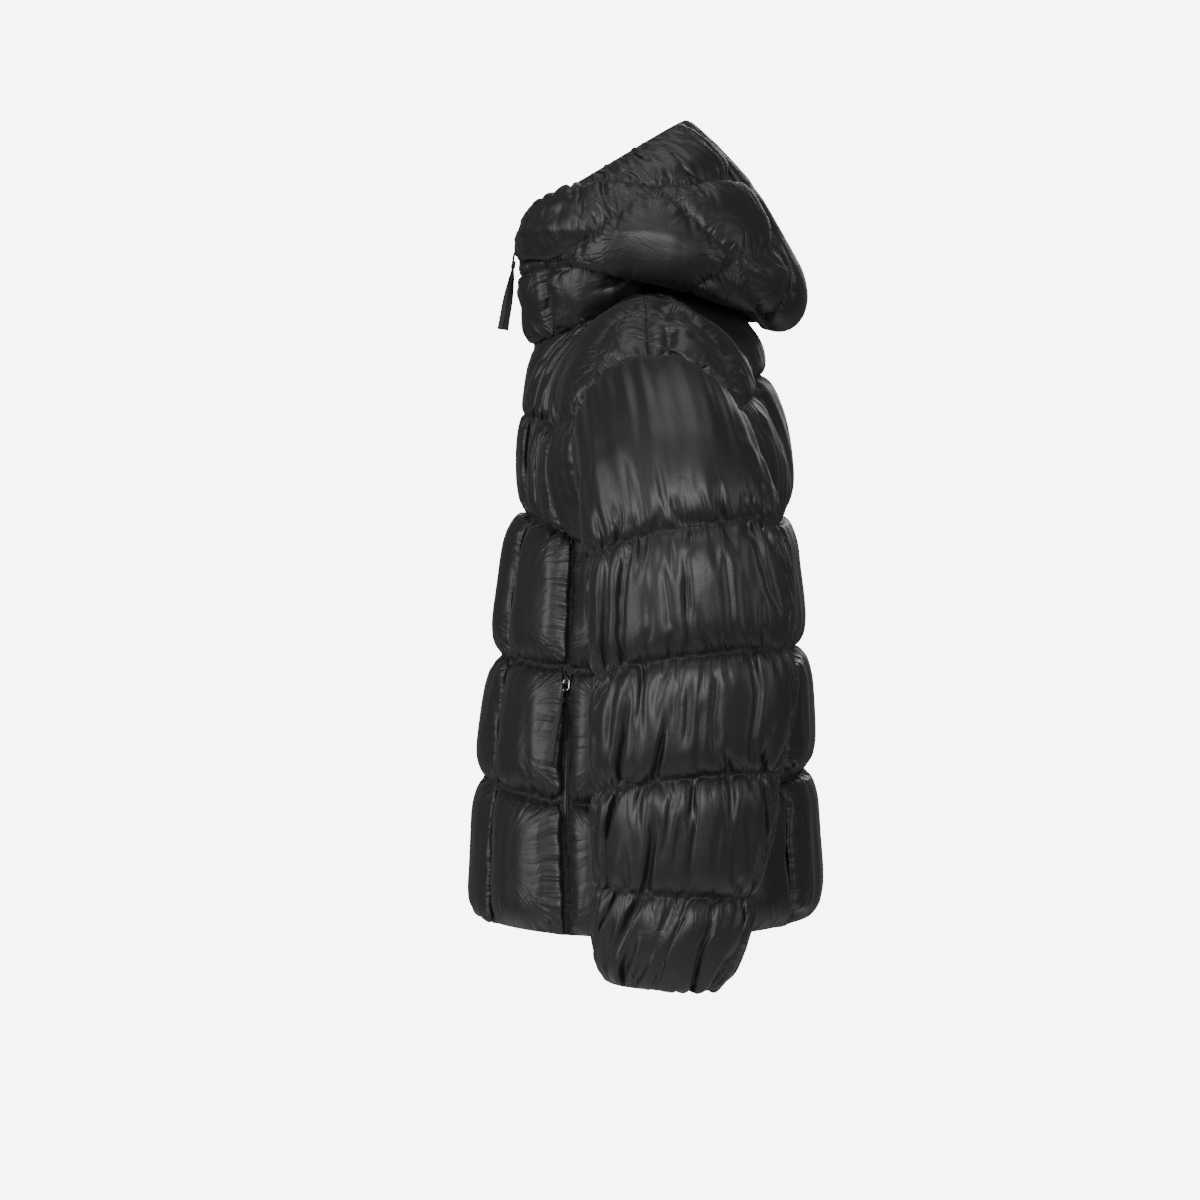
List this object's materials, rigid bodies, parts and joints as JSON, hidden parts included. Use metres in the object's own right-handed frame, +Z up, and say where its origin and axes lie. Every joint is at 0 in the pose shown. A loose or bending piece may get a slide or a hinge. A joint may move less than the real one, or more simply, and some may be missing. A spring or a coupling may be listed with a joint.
{
  "type": "hooded down parka",
  "caption": "Short padded down parka in its worn form, quilted in chambers, with the hood lying down behind the neck, a full front zip and side pocket zips.",
  "frame": {"origin": "between the wearer's shoulders, on the middle plane, at the height of the points where the shoulder seams meet the neck; the garment hangs from there", "axes": "+Z up, the front faces -Y, the wearer's left is +X"},
  "size_m": [0.8462, 0.3727, 0.8956],
  "materials": {
    "shell": "black nylon shell with a soft lustre, filled with down",
    "zip_tape": "black woven tape with black teeth",
    "slider_metal": "silver coloured, satin",
    "pull_ribbon": "black cord and ribbon"
  },
  "bodies": {
    "garment": {"front_left": "shell", "front_right": "shell", "back": "shell", "sleeve_upper_left": "shell", "sleeve_upper_right": "shell", "sleeve_under_left": "shell", "sleeve_under_right": "shell", "hood_side_left": "shell", "hood_side_right": "shell", "hood_centre": "shell", "collar": "shell", "front_zip_left": "zip_tape", "front_zip_right": "zip_tape", "pocket_zip_left": "zip_tape", "pocket_zip_right": "zip_tape", "neck_zip": "zip_tape", "front_slider": "slider_metal", "pocket_slider_left": "slider_metal", "pocket_slider_right": "slider_metal"},
    "front_pull": {"front_pull": "pull_ribbon"},
    "pocket_pull_left": {"pocket_pull_left": "pull_ribbon"},
    "pocket_pull_right": {"pocket_pull_right": "pull_ribbon"}
  },
  "joints": [
    {"name": "front_pull_swing", "type": "hinge", "parent": "garment", "child": "front_pull", "pos_m": [0, -0.13681, 0.05009], "axis": [-1, 0, 0], "range_deg": [-3, 120]},
    {"name": "pocket_pull_left_swing", "type": "hinge", "parent": "garment", "child": "pocket_pull_left", "pos_m": [0.20724, -0.08218, -0.41325], "axis": [-0.5736, -0.8184, -0.0344], "range_deg": [-4, 110]},
    {"name": "pocket_pull_right_swing", "type": "hinge", "parent": "garment", "child": "pocket_pull_right", "pos_m": [-0.20724, -0.08218, -0.41325], "axis": [-0.5736, 0.8184, 0.0344], "range_deg": [-4, 110]}
  ]
}
